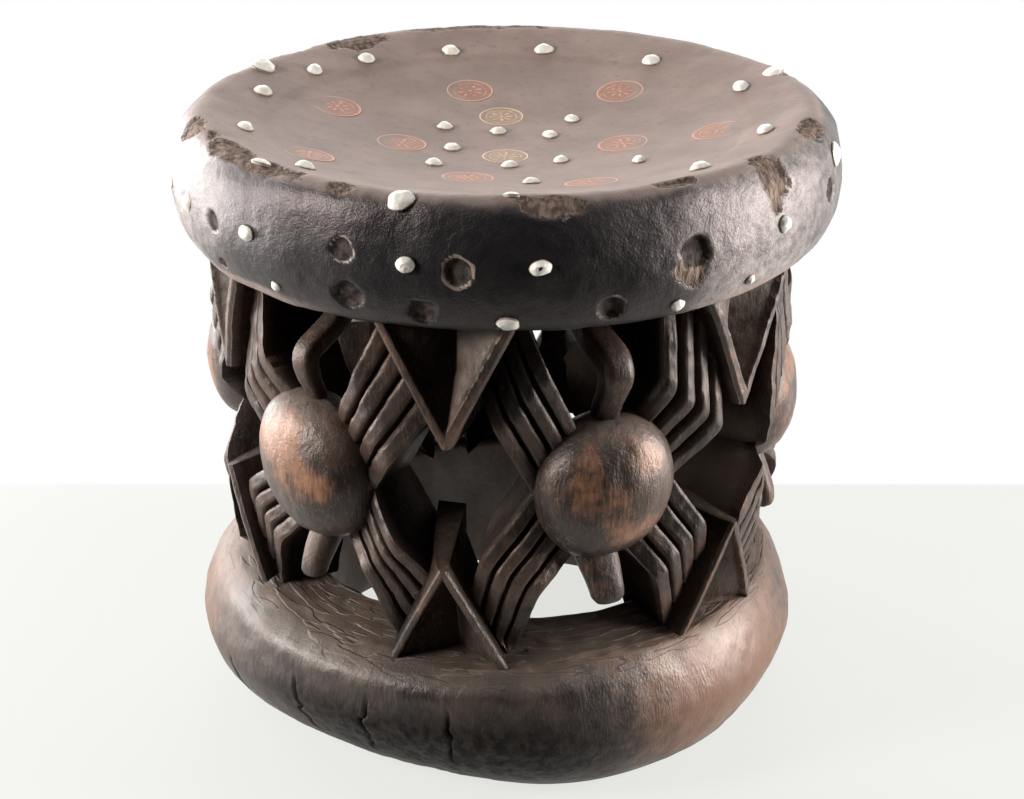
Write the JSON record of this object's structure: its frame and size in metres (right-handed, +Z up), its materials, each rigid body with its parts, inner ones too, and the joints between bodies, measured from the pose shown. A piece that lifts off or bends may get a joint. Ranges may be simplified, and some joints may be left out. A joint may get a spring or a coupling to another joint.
{
  "type": "carved ceremonial stool",
  "caption": "Round carved wooden stool: a dished seat inlaid with coins and shell studs, on an openwork drum of spider figures and triangles and a thick ring base.",
  "frame": {"origin": "on the drum's axis, at the underside of the ring base", "axes": "+Z up along the drum's axis; -Y is the front, midway between two spiders, with a triangle pair in the middle"},
  "size_m": [0.4, 0.4021, 0.3754],
  "materials": {
    "seat_wood": "bare brown wood, rough where the coat has chipped away",
    "black_coat": "blackened resin-like coat, satin on the side, matte and dusty in the dish",
    "carved_wood": "dark stained wood, polished and red-brown on worn high spots, dusty in the grooves",
    "base_wood": "dark stained wood with drying cracks, worn red-brown at the sides",
    "coin_copper": "worn dark copper",
    "coin_brass": "worn dull brass",
    "shell_white": "off-white chipped shell"
  },
  "bodies": {
    "root": {"base_ring": "base_wood", "base_triangle_1": "carved_wood", "base_triangle_2": "carved_wood", "base_triangle_3": "carved_wood", "base_triangle_4": "carved_wood", "base_triangle_5": "carved_wood", "base_triangle_6": "carved_wood", "coin_brass_1": "coin_brass", "coin_brass_2": "coin_brass", "coin_copper_1": "coin_copper", "coin_copper_2": "coin_copper", "coin_copper_3": "coin_copper", "coin_copper_4": "coin_copper", "coin_copper_5": "coin_copper", "coin_copper_6": "coin_copper", "coin_copper_7": "coin_copper", "coin_copper_8": "coin_copper", "coin_copper_9": "coin_copper", "seat_coat": "black_coat", "seat_slab": "seat_wood", "seat_triangle_1": "carved_wood", "seat_triangle_2": "carved_wood", "seat_triangle_3": "carved_wood", "seat_triangle_4": "carved_wood", "seat_triangle_5": "carved_wood", "seat_triangle_6": "carved_wood", "shell_belt_1": "shell_white", "shell_belt_2": "shell_white", "shell_belt_3": "shell_white", "shell_belt_4": "shell_white", "shell_belt_5": "shell_white", "shell_belt_6": "shell_white", "shell_belt_7": "shell_white", "shell_dish_1": "shell_white", "shell_dish_10": "shell_white", "shell_dish_2": "shell_white", "shell_dish_3": "shell_white", "shell_dish_4": "shell_white", "shell_dish_5": "shell_white", "shell_dish_6": "shell_white", "shell_dish_7": "shell_white", "shell_dish_8": "shell_white", "shell_dish_9": "shell_white", "shell_rim_1": "shell_white", "shell_rim_10": "shell_white", "shell_rim_11": "shell_white", "shell_rim_2": "shell_white", "shell_rim_3": "shell_white", "shell_rim_4": "shell_white", "shell_rim_5": "shell_white", "shell_rim_6": "shell_white", "shell_rim_7": "shell_white", "shell_rim_8": "shell_white", "shell_rim_9": "shell_white", "spider_1": "carved_wood", "spider_2": "carved_wood", "spider_3": "carved_wood", "spider_4": "carved_wood", "spider_5": "carved_wood", "spider_6": "carved_wood"}
  },
  "joints": []
}
